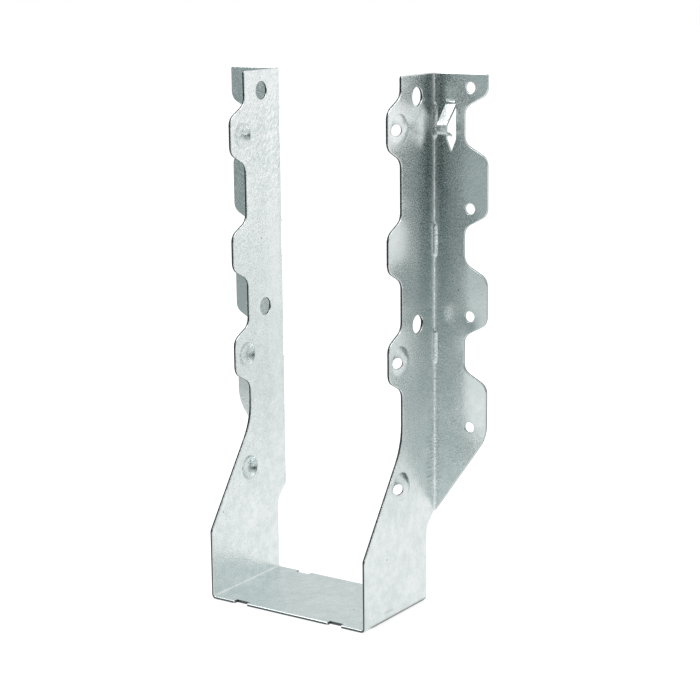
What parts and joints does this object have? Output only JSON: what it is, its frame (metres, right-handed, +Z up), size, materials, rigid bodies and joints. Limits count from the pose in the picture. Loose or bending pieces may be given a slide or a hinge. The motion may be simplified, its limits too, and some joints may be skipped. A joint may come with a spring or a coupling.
{
  "type": "joist hanger",
  "caption": "Face-mount joist hanger folded from one galvanised steel sheet, with scalloped flanges and domed slanting nail holes.",
  "frame": {"origin": "on the floor under the seat, midway between the side plates and midway between the header plane and the seat's front edge", "axes": "+Z up along the side plates, +Y towards the header, X across the joist"},
  "size_m": [0.1334, 0.0574, 0.231],
  "materials": {
    "galvanised_steel": "hot-dip galvanised sheet, satin, with a fine grain"
  },
  "bodies": {
    "root": {"joist_hanger": "galvanised_steel"}
  },
  "joints": []
}
